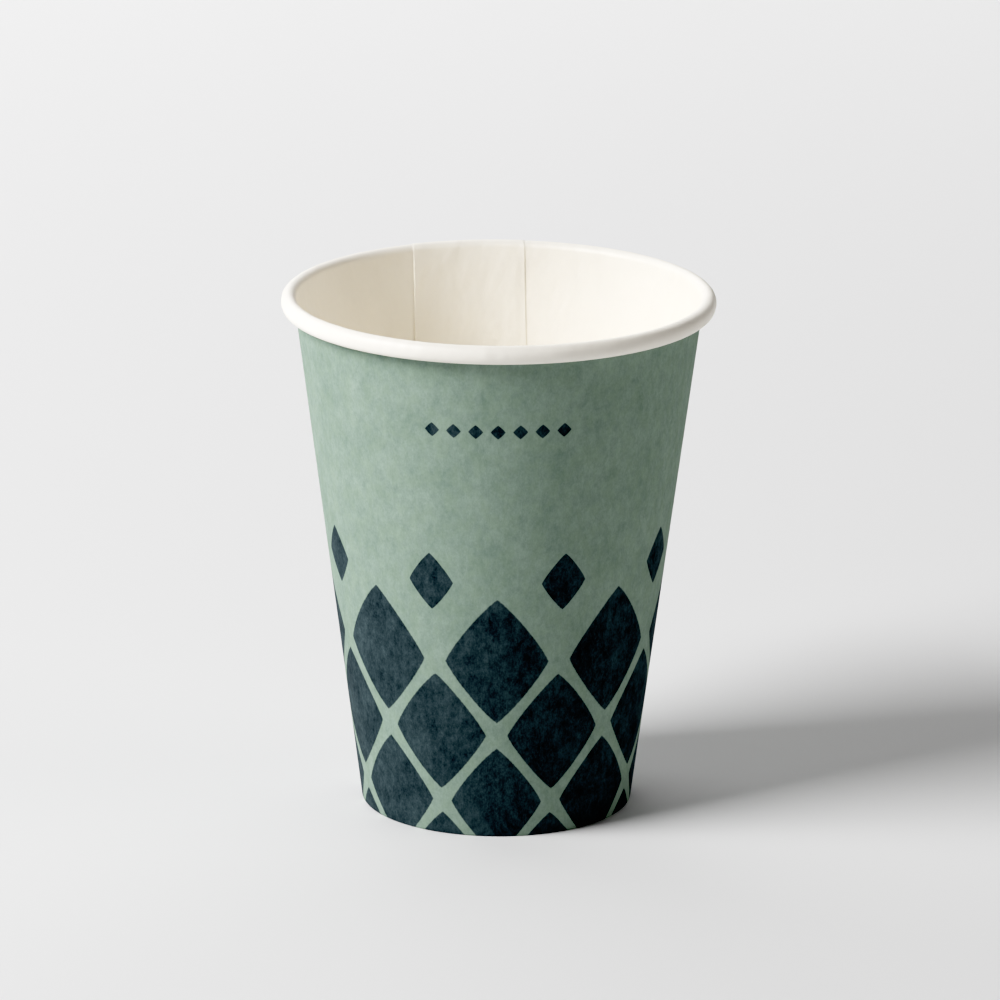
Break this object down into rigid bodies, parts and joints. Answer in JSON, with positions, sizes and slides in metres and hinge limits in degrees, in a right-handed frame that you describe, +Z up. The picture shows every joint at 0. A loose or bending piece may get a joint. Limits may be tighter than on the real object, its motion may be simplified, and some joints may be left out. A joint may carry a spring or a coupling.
{
  "type": "paper coffee cup",
  "caption": "Single-wall paper coffee cup, open at the top, with a rolled rim, a lapped side seam at the back and a raised bottom held in a folded hem.",
  "frame": {"origin": "centre of the ring that the cup stands on, in the plane of the ground", "axes": "+Z up the cup's axis to the open rim, -Y towards the viewer, so the side seam is at the back, near +Y and a little towards -X"},
  "size_m": [0.09, 0.0901, 0.1092],
  "materials": {
    "printed_board": "matte",
    "plain_board": "matte"
  },
  "bodies": {
    "root": {"sidewall": "printed_board", "bottom_disc": "plain_board"}
  },
  "joints": []
}
